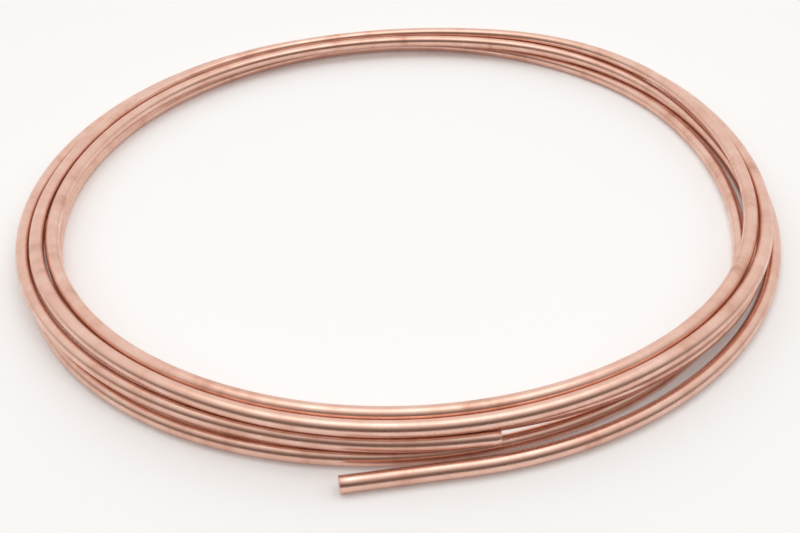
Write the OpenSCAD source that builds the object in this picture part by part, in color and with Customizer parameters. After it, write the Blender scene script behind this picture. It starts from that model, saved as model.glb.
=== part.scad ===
// A coil of soft copper tube lying loose on a level floor.
// It is one tube, wound five turns, with both ends sawn square.
// Millimetres, +Z up, origin on the floor under the middle of the coil, -Y towards the front.

/* [Tube] */
// Outside diameter of the tube
tube_od = 15; // [12:0.5:18]
// Wall thickness of the tube
tube_wall = 1; // [0.7:0.1:1.5]

/* [Coil] */
// Clear diameter inside the first lane of the coil
coil_bore = 752; // [600:4:900]
// Clear space left between turns that lie against each other
turn_gap = 0.4; // [0.3:0.1:1]
// Straight length at the free end
free_end = 110; // [60:5:160]
// Straight length at the end that is tucked between the turns
tucked_end = 30; // [20:5:50]

/* [Hidden] */

outer_r = tube_od / 2;
inner_r = outer_r - tube_wall;
pitch = tube_od + turn_gap;

// The way each turn lies at eight stations round the coil, starting at the front and passing the
// right side, the back and the left side. A station is [lane, layer], both counted in pitches: the
// lane from the coil's bore outwards, and the layer up from the floor. A turn on layer 0 lies on
// the floor, and neighbours stay one pitch apart.
first_turn = [
    [2.65, 0], [2.5, 0], [1.9, 0], [1.88, 0], [2.02, 0], [1.6, 0], [1.22, 0], [2.03, 0]
];
second_turn = [
    [1.45, 0], [0.78, 0], [-0.42, 0], [0.52, 0], [1, 0], [0.5, 0], [0.1, 0], [0.05, 0.5]
];
third_turn = [
    [0.42, 0.97], [1.36, 1], [0.87, 0], [0.8, 1], [-0.1, 0.95], [0, 1], [0, 1.1], [0.1, 1.85]
];
fourth_turn = [
    [0.3, 2.05], [0.5, 1.95], [0.4, 1.6], [1.28, 1.89], [1.2, 1.1], [1.25, 1.1], [1.1, 1.08], [1.2, 2.05]
];
fifth_turn = [
    [1.38, 2.05], [1.55, 2.02], [1.42, 1.2], [2.32, 1.1], [3.2, 0.1], [2.6, 0.5], [2.27, 0.6], [1.87, 1.17]
];
last_part = [[1.47, 1], [1.58, 1]];
stations = concat(first_turn, second_turn, third_turn, fourth_turn, fifth_turn, last_part);
last = len(stations) - 1;

// The turns' common centre, set so that the origin is under the middle of the whole coil
centre = [2.9, 0.8];

// Bearings are measured from +X, anticlockwise from above. The first station, where the free end
// starts, is a little past its place, and the last one, at the tucked end, closely follows the one
// before it.
first_bearing = -91;
station_angle = 45;
late_angle = 8;
last_angle = 8;

// Every second bend is narrower by this much in radius, inside and out, and its ends are let into
// the bends beside it, which makes one solid of the whole tube.
neck = 0.12;
let_in = 1;

function unit(v) = v / norm(v);

function bearing(i) =
    i == 0 ? first_bearing + late_angle :
    i == last ? bearing(last - 1) + last_angle :
    first_bearing + station_angle * i;

function point(i) =
    let (r = coil_bore / 2 + outer_r + stations[i][0] * pitch)
    [centre.x + r * cos(bearing(i)), centre.y + r * sin(bearing(i)), outer_r + stations[i][1] * pitch];

// A heading turned about the chord from one point to the next, as a plain arc turns it
function carried(heading, chord) = 2 * (chord * heading) / (chord * chord) * chord - heading;

// The heading of the arc through a station and its two neighbours, level where it is on the floor
function inner_heading(i) =
    let (a = point(i) - point(i - 1))
    let (b = point(i + 1) - point(i))
    let (h = a * (norm(b) / norm(a)) + b * (norm(a) / norm(b)))
    unit([h.x, h.y, stations[i][1] == 0 ? 0 : h.z]);

function heading(i) =
    i == 0 ? carried(inner_heading(1), point(1) - point(0)) :
    i == last ? carried(inner_heading(last - 1), point(last) - point(last - 1)) :
    inner_heading(i);

// The point where the two bends between a pair of stations meet and share a heading
function meeting_point(p, h, q, k) =
    let (v = q - p)
    let (s = v * (h + k))
    let (c = 1 - h * k)
    let (d = (sqrt(s * s + 2 * c * (v * v)) - s) / (2 * c))
    (p + q + d * (h - k)) / 2;

module ring(narrower) {
    difference() {
        circle(outer_r - narrower, $fn = 48);
        circle(inner_r - narrower, $fn = 48);
    }
}

// A bend of the tube that leaves p along heading h and ends at q
module bend(p, h, q, narrower = 0, overlap = 0) {
    chord = q - p;
    inward = unit(chord - (chord * h) * h);
    r = (chord * chord) / (2 * (chord * inward));
    sweep = 2 * atan2(chord * inward, chord * h);
    extra = overlap / r * 180 / PI;
    o = p + r * inward;
    x = -inward;
    z = cross(x, h);
    multmatrix([[x.x, h.x, z.x, o.x], [x.y, h.y, z.y, o.y], [x.z, h.z, z.z, o.z]])
        rotate(-extra)
            rotate_extrude(angle = sweep + 2 * extra, $fn = 96)
                translate([r, 0])
                    ring(narrower);
}

// The two bends from one station to the next
module span(i) {
    p = point(i);
    q = point(i + 1);
    m = meeting_point(p, heading(i), q, heading(i + 1));
    bend(p, heading(i), m, neck, let_in);
    bend(m, carried(heading(i), m - p), q);
}

// A straight stretch of the tube that starts at p and runs along h
module straight(p, h, length, narrower = 0, overlap = 0) {
    x = unit(cross([0, 0, 1], h));
    y = cross(h, x);
    o = p - overlap * h;
    multmatrix([[x.x, y.x, h.x, o.x], [x.y, y.y, h.y, o.y], [x.z, y.z, h.z, o.z]])
        linear_extrude(length + overlap)
            ring(narrower);
}

module copper_tube() {
    color("#C98468") {
        straight(point(0), -heading(0), free_end);
        for (i = [0 : last - 1])
            span(i);
        straight(point(last), heading(last), tucked_end, neck, let_in);
    }
}

copper_tube();
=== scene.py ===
import math

import bpy
from mathutils import Matrix, Vector


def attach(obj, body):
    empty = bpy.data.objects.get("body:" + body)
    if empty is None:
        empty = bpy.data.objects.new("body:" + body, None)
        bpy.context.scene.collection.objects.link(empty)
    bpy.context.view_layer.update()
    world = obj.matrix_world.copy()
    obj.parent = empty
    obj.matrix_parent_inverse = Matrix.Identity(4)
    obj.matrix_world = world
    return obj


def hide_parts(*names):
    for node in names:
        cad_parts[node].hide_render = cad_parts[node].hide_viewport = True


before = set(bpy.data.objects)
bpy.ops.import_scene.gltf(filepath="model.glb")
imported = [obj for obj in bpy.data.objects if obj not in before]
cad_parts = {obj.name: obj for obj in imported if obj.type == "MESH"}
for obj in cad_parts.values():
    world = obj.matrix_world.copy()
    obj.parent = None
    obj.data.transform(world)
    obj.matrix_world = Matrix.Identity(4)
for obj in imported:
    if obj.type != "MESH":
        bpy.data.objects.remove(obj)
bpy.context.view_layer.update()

# Sizes of the tube and the coil, in metres, the same as in the part's source
TUBE_OD = 0.015
TUBE_WALL = 0.001
COIL_BORE = 0.752
TURN_GAP = 0.0004
FREE_END = 0.110
TUCKED_END = 0.030
OUTER_R = TUBE_OD / 2
INNER_R = OUTER_R - TUBE_WALL
PITCH = TUBE_OD + TURN_GAP

# The turns at eight stations each, as (lane, layer) in pitches, the same as in the part's source
FIRST_TURN = [
    (2.65, 0), (2.5, 0), (1.9, 0), (1.88, 0), (2.02, 0), (1.6, 0), (1.22, 0), (2.03, 0),
]
SECOND_TURN = [
    (1.45, 0), (0.78, 0), (-0.42, 0), (0.52, 0), (1, 0), (0.5, 0), (0.1, 0), (0.05, 0.5),
]
THIRD_TURN = [
    (0.42, 0.97), (1.36, 1), (0.87, 0), (0.8, 1), (-0.1, 0.95), (0, 1), (0, 1.1), (0.1, 1.85),
]
FOURTH_TURN = [
    (0.3, 2.05), (0.5, 1.95), (0.4, 1.6), (1.28, 1.89), (1.2, 1.1), (1.25, 1.1), (1.1, 1.08), (1.2, 2.05),
]
FIFTH_TURN = [
    (1.38, 2.05), (1.55, 2.02), (1.42, 1.2), (2.32, 1.1), (3.2, 0.1), (2.6, 0.5), (2.27, 0.6), (1.87, 1.17),
]
LAST_PART = [(1.47, 1), (1.58, 1)]
STATIONS = FIRST_TURN + SECOND_TURN + THIRD_TURN + FOURTH_TURN + FIFTH_TURN + LAST_PART
LAST = len(STATIONS) - 1

# The turns' common centre, and the bearings of the stations in degrees
CENTRE = Vector((0.0029, 0.0008, 0))
FIRST_BEARING = -91
STATION_ANGLE = 45
LATE_ANGLE = 8
LAST_ANGLE = 8

# Fineness of the swept tube, and the rounding of its rims
RING_STEP = 0.007
FEWEST_STEPS = 2
OUTER_SIDES = 32
INNER_SIDES = 16
EDGE_ROUND = 0.0003

# Blotches on the copper, from tarnished to bright: the noise, its colours, and its roughness
COPPER_STOPS = [
    (0.27, (0.64, 0.35, 0.26, 1)),
    (0.44, (0.83, 0.515, 0.41, 1)),
    (0.68, (0.91, 0.62, 0.52, 1)),
]
BLOTCH_SCALE = 28.0
BLOTCH_DETAIL = 6.0
BLOTCH_CRISPNESS = 0.55
TARNISHED_SHARE = 0.3
TARNISHED_ROUGHNESS = 0.36
BRIGHT_SHARE = 0.7
BRIGHT_ROUGHNESS = 0.25

# Drawn lines in the copper: how many there are round the tube and in a metre, and how they show
LINE_SCALE = (40.0, 5.0, 1.0)
LINE_DETAIL = 3.0
LINE_STOPS = [
    (0.3, (0.80, 0.74, 0.70, 1)),
    (0.6, (1, 1, 1, 1)),
]
LINE_TINT = 0.3
LINE_BUMP = 0.06
LINE_DEPTH = 0.0002

# The colour sockets of a mix node, which share their names with its other sockets
MIX_A = 6
MIX_B = 7
MIX_RESULT = 2

# The floor lies just under the coil
FLOOR_HALF = 6.0
FLOOR_DROP = 0.0005
FLOOR_COLOUR = (0.97, 0.97, 0.97, 1)
FLOOR_LIFT = 0.11

# The studio is brightest along one direction, and its colours run from the dim end to the bright one
BRIGHT_WAY = (0, 0.5, 0.6)
DIM_END = -0.4
BRIGHT_END = 0.7
STUDIO_STOPS = [
    (0.0, (0.11, 0.075, 0.06, 1)),
    (0.35, (0.23, 0.17, 0.14, 1)),
    (0.7, (0.97, 0.96, 0.94, 1)),
    (1.0, (1.0, 0.99, 0.97, 1)),
]
STUDIO_STRENGTH = 0.92

# The lamp overhead faces straight down
LAMP_HEIGHT = 2.4
LAMP_SIZE = (2.4, 1.6)
LAMP_WATTS = 11

# The camera: lens and sensor in millimetres, shifts in widths of the picture, angles in degrees
LENS = 50
SENSOR = 36
SHIFT_X = 0.0029
SHIFT_Y = -0.0818
CAMERA_DISTANCE = 1.287
CAMERA_TILT = 33.4
CAMERA_ROLL = -2.19


def bearing(i):
    if i == 0:
        return math.radians(FIRST_BEARING + LATE_ANGLE)
    if i == LAST:
        return bearing(LAST - 1) + math.radians(LAST_ANGLE)
    return math.radians(FIRST_BEARING + STATION_ANGLE * i)


def point(i):
    lane, layer = STATIONS[i]
    r = COIL_BORE / 2 + OUTER_R + lane * PITCH
    x = r * math.cos(bearing(i))
    y = r * math.sin(bearing(i))
    return CENTRE + Vector((x, y, OUTER_R + layer * PITCH))


def carried(heading, chord):
    """The heading after a plain arc over that chord."""
    return (2 * chord.dot(heading) / chord.dot(chord)) * chord - heading


def inner_heading(i):
    """The heading of the arc through a station and its neighbours, level where it is on the floor."""
    a = point(i) - point(i - 1)
    b = point(i + 1) - point(i)
    h = a * (b.length / a.length) + b * (a.length / b.length)
    if STATIONS[i][1] == 0:
        h.z = 0
    return h.normalized()


def heading(i):
    if i == 0:
        return carried(inner_heading(1), point(1) - point(0))
    if i == LAST:
        return carried(inner_heading(LAST - 1), point(LAST) - point(LAST - 1))
    return inner_heading(i)


def meeting_point(p, h, q, k):
    """The point where the two bends between a pair of stations meet."""
    v = q - p
    s = v.dot(h + k)
    c = 1 - h.dot(k)
    d = (math.sqrt(s * s + 2 * c * v.dot(v)) - s) / (2 * c)
    return (p + q + d * (h - k)) / 2


def bend(path, p, h, q):
    """Adds the points of the arc that leaves p along h and ends at q, without q itself."""
    chord = q - p
    inward = (chord - chord.dot(h) * h).normalized()
    r = chord.dot(chord) / (2 * chord.dot(inward))
    sweep = 2 * math.atan2(chord.dot(inward), chord.dot(h))
    steps = max(FEWEST_STEPS, round(r * sweep / RING_STEP))
    for n in range(steps):
        a = sweep * n / steps
        place = p + r * inward * (1 - math.cos(a)) + r * h * math.sin(a)
        path.append((place, h * math.cos(a) + inward * math.sin(a)))


def straight(path, p, h, length):
    """Adds the points of the straight stretch that leaves p along h, without its end."""
    steps = max(FEWEST_STEPS, round(length / RING_STEP))
    for n in range(steps):
        path.append((p + h * (length * n / steps), h))


def tube_path():
    """The tube's centre line from the free end to the tucked one, as points and headings."""
    path = []
    straight(path, point(0) - heading(0) * FREE_END, heading(0), FREE_END)
    for i in range(LAST):
        p, q = point(i), point(i + 1)
        m = meeting_point(p, heading(i), q, heading(i + 1))
        bend(path, p, heading(i), m)
        bend(path, m, carried(heading(i), m - p), q)
    straight(path, point(LAST), heading(LAST), TUCKED_END)
    path.append((point(LAST) + heading(LAST) * TUCKED_END, heading(LAST)))
    return path


def ring_places(path):
    """The places and headings of the tube's rings, with one more ring at each end to round its rim."""
    places = [path[0][0]] + [place for place, _ in path] + [path[-1][0]]
    heads = [path[0][1]] + [head for _, head in path] + [path[-1][1]]
    places[1] = places[0] + heads[0] * EDGE_ROUND
    places[-2] = places[-1] - heads[-1] * EDGE_ROUND
    return places, heads


def ring_axes(heads):
    """Two directions across the tube at each ring, carried along so that they don't twist."""
    side = heads[0].cross(Vector((0, 0, 1))).normalized()
    axes = []
    for head in heads:
        side = (side - side.dot(head) * head).normalized()
        axes.append((side, head.cross(side)))
    return axes


def wall_points(places, axes, radius, end_change, sides):
    """The points of a wall, ring by ring, with the radius changed at the two end rings."""
    ends = (0, len(places) - 1)
    points = []
    for k, (place, (x, y)) in enumerate(zip(places, axes)):
        r = radius + (end_change if k in ends else 0)
        for n in range(sides):
            a = 2 * math.pi * n / sides
            points.append(place + r * (x * math.cos(a) + y * math.sin(a)))
    return points


def wall_faces(first, along, sides, inside):
    """The faces of a wall. A corner is a point's number and its place on the map, round and along."""
    faces = []
    for k in range(len(along) - 1):
        near = first + k * sides
        far = near + sides
        for n in range(sides):
            m = (n + 1) % sides
            u = n / sides
            next_u = (n + 1) / sides
            corners = [
                (near + n, (u, along[k])),
                (near + m, (next_u, along[k])),
                (far + m, (next_u, along[k + 1])),
                (far + n, (u, along[k + 1])),
            ]
            faces.append(corners[::-1] if inside else corners)
    return faces


def rim_faces(outer, inner, length, at_start):
    """The flat faces of a sawn end, between the end rings of the two walls."""
    ratio = OUTER_SIDES // INNER_SIDES
    faces = []
    for n in range(INNER_SIDES):
        m = (n + 1) % INNER_SIDES
        arc = [outer + (n * ratio + j) % OUTER_SIDES for j in range(ratio + 1)]
        corners = [(number, (n / INNER_SIDES, length)) for number in [inner + n] + arc + [inner + m]]
        faces.append(corners[::-1] if at_start else corners)
    return faces


def swept_tube(name, path):
    """A hollow tube along the path, with slightly rounded rims, and its own map of the surface."""
    places, heads = ring_places(path)
    axes = ring_axes(heads)
    along = [0.0]
    for a, b in zip(places, places[1:]):
        along.append(along[-1] + (b - a).length)

    points = wall_points(places, axes, OUTER_R, -EDGE_ROUND, OUTER_SIDES)
    inner_start = len(points)
    points += wall_points(places, axes, INNER_R, EDGE_ROUND, INNER_SIDES)
    outer_end = inner_start - OUTER_SIDES
    inner_end = len(points) - INNER_SIDES
    faces = wall_faces(0, along, OUTER_SIDES, False)
    faces += wall_faces(inner_start, along, INNER_SIDES, True)
    faces += rim_faces(0, inner_start, along[0], True)
    faces += rim_faces(outer_end, inner_end, along[-1], False)

    mesh = bpy.data.meshes.new(name)
    mesh.from_pydata(points, [], [[number for number, _ in face] for face in faces])
    layer = mesh.uv_layers.new(name="tube")
    layer.data.foreach_set("uv", [value for face in faces for _, pair in face for value in pair])
    mesh.polygons.foreach_set("use_smooth", [True] * len(faces))
    mesh.update()
    obj = bpy.data.objects.new(name, mesh)
    bpy.context.collection.objects.link(obj)
    return obj


def new_material(name):
    material = bpy.data.materials.new(name)
    material.use_nodes = True
    tree = material.node_tree
    tree.nodes.clear()
    return material, tree


def ramp(tree, stops):
    """A colour ramp through the stops, which are in order."""
    node = tree.nodes.new("ShaderNodeValToRGB")
    elements = node.color_ramp.elements
    for element, (place, colour) in zip(elements, (stops[0], stops[-1])):
        element.position = place
        element.color = colour
    for place, colour in stops[1:-1]:
        elements.new(place).color = colour
    return node


def copper_material():
    """Satin drawn copper: warm metal, faint blotches of tarnish, and fine lines along the tube."""
    material, tree = new_material("copper")
    nodes, links = tree.nodes, tree.links
    out = nodes.new("ShaderNodeOutputMaterial")
    shader = nodes.new("ShaderNodeBsdfPrincipled")
    shader.inputs["Metallic"].default_value = 1.0
    links.new(shader.outputs["BSDF"], out.inputs["Surface"])
    place = nodes.new("ShaderNodeTexCoord")

    # The length along the tube goes into the blotches too, so that they differ from turn to turn
    along = nodes.new("ShaderNodeSeparateXYZ")
    links.new(place.outputs["UV"], along.inputs["Vector"])
    blotch = nodes.new("ShaderNodeTexNoise")
    blotch.noise_dimensions = "4D"
    links.new(along.outputs["Y"], blotch.inputs["W"])
    blotch.inputs["Scale"].default_value = BLOTCH_SCALE
    blotch.inputs["Detail"].default_value = BLOTCH_DETAIL
    blotch.inputs["Roughness"].default_value = BLOTCH_CRISPNESS
    links.new(place.outputs["Object"], blotch.inputs["Vector"])
    colour = ramp(tree, COPPER_STOPS)
    links.new(blotch.outputs["Fac"], colour.inputs["Fac"])

    stretch = nodes.new("ShaderNodeMapping")
    stretch.inputs["Scale"].default_value = LINE_SCALE
    links.new(place.outputs["UV"], stretch.inputs["Vector"])
    lines = nodes.new("ShaderNodeTexNoise")
    lines.inputs["Scale"].default_value = 1.0
    lines.inputs["Detail"].default_value = LINE_DETAIL
    links.new(stretch.outputs["Vector"], lines.inputs["Vector"])

    shade = ramp(tree, LINE_STOPS)
    links.new(lines.outputs["Fac"], shade.inputs["Fac"])
    tint = nodes.new("ShaderNodeMix")
    tint.data_type = "RGBA"
    tint.blend_type = "MULTIPLY"
    tint.inputs["Factor"].default_value = LINE_TINT
    links.new(colour.outputs["Color"], tint.inputs[MIX_A])
    links.new(shade.outputs["Color"], tint.inputs[MIX_B])
    links.new(tint.outputs[MIX_RESULT], shader.inputs["Base Color"])

    rough = nodes.new("ShaderNodeMapRange")
    rough.inputs["From Min"].default_value = TARNISHED_SHARE
    rough.inputs["From Max"].default_value = BRIGHT_SHARE
    rough.inputs["To Min"].default_value = TARNISHED_ROUGHNESS
    rough.inputs["To Max"].default_value = BRIGHT_ROUGHNESS
    links.new(blotch.outputs["Fac"], rough.inputs["Value"])
    links.new(rough.outputs["Result"], shader.inputs["Roughness"])

    bump = nodes.new("ShaderNodeBump")
    bump.inputs["Strength"].default_value = LINE_BUMP
    bump.inputs["Distance"].default_value = LINE_DEPTH
    links.new(lines.outputs["Fac"], bump.inputs["Height"])
    links.new(bump.outputs["Normal"], shader.inputs["Normal"])
    return material


def floor_material():
    """A pale floor that takes the coil's shadow, lifted to white for the camera and for the metal."""
    material, tree = new_material("floor")
    nodes, links = tree.nodes, tree.links
    out = nodes.new("ShaderNodeOutputMaterial")
    matt = nodes.new("ShaderNodeBsdfDiffuse")
    matt.inputs["Color"].default_value = FLOOR_COLOUR
    path = nodes.new("ShaderNodeLightPath")
    seen = nodes.new("ShaderNodeMath")
    seen.operation = "ADD"
    links.new(path.outputs["Is Camera Ray"], seen.inputs[0])
    links.new(path.outputs["Is Glossy Ray"], seen.inputs[1])
    lift = nodes.new("ShaderNodeMath")
    lift.operation = "MULTIPLY"
    lift.inputs[1].default_value = FLOOR_LIFT
    links.new(seen.outputs["Value"], lift.inputs[0])
    glow = nodes.new("ShaderNodeEmission")
    links.new(lift.outputs["Value"], glow.inputs["Strength"])
    both = nodes.new("ShaderNodeAddShader")
    links.new(matt.outputs["BSDF"], both.inputs[0])
    links.new(glow.outputs["Emission"], both.inputs[1])
    links.new(both.outputs["Shader"], out.inputs["Surface"])
    return material


def make_floor():
    mesh = bpy.data.meshes.new("floor")
    s = FLOOR_HALF
    mesh.from_pydata([(-s, -s, 0), (s, -s, 0), (s, s, 0), (-s, s, 0)], [], [(0, 1, 2, 3)])
    mesh.materials.append(floor_material())
    obj = bpy.data.objects.new("floor", mesh)
    obj.location.z = -FLOOR_DROP
    bpy.context.collection.objects.link(obj)


def make_lamp():
    data = bpy.data.lights.new("top_light", "AREA")
    data.shape = "RECTANGLE"
    data.size, data.size_y = LAMP_SIZE
    data.energy = LAMP_WATTS
    obj = bpy.data.objects.new("top_light", data)
    obj.location.z = LAMP_HEIGHT
    bpy.context.collection.objects.link(obj)


def make_world():
    """A studio that is bright overhead and behind the coil, and dim low down in front of it."""
    world = bpy.data.worlds.new("studio")
    bpy.context.scene.world = world
    world.use_nodes = True
    tree = world.node_tree
    nodes, links = tree.nodes, tree.links
    nodes.clear()
    out = nodes.new("ShaderNodeOutputWorld")
    back = nodes.new("ShaderNodeBackground")
    place = nodes.new("ShaderNodeTexCoord")
    towards = nodes.new("ShaderNodeVectorMath")
    towards.operation = "DOT_PRODUCT"
    towards.inputs[1].default_value = BRIGHT_WAY
    links.new(place.outputs["Generated"], towards.inputs[0])
    level = nodes.new("ShaderNodeMapRange")
    level.inputs["From Min"].default_value = DIM_END
    level.inputs["From Max"].default_value = BRIGHT_END
    links.new(towards.outputs["Value"], level.inputs["Value"])
    sky = ramp(tree, STUDIO_STOPS)
    links.new(level.outputs["Result"], sky.inputs["Fac"])
    links.new(sky.outputs["Color"], back.inputs["Color"])
    back.inputs["Strength"].default_value = STUDIO_STRENGTH
    links.new(back.outputs["Background"], out.inputs["Surface"])


def make_camera():
    """A camera looking down at the coil, turned a little so that its right side stands higher."""
    data = bpy.data.cameras.new("camera")
    data.lens = LENS
    data.sensor_width = SENSOR
    data.shift_x = SHIFT_X
    data.shift_y = SHIFT_Y
    obj = bpy.data.objects.new("camera", data)
    tilt = math.radians(CAMERA_TILT)
    away = CAMERA_DISTANCE * Vector((0, -math.cos(tilt), math.sin(tilt)))
    turn = (-away).to_track_quat("-Z", "Y").to_matrix().to_4x4()
    roll = Matrix.Rotation(math.radians(CAMERA_ROLL), 4, "Z")
    obj.matrix_world = Matrix.Translation(CENTRE + away) @ turn @ roll
    bpy.context.collection.objects.link(obj)
    bpy.context.scene.camera = obj


tube = swept_tube("copper_coil", tube_path())
tube.data.materials.append(copper_material())
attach(tube, "root")
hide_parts("copper_tube")

make_floor()
make_world()
make_lamp()
make_camera()
bpy.context.scene.view_settings.view_transform = "Standard"
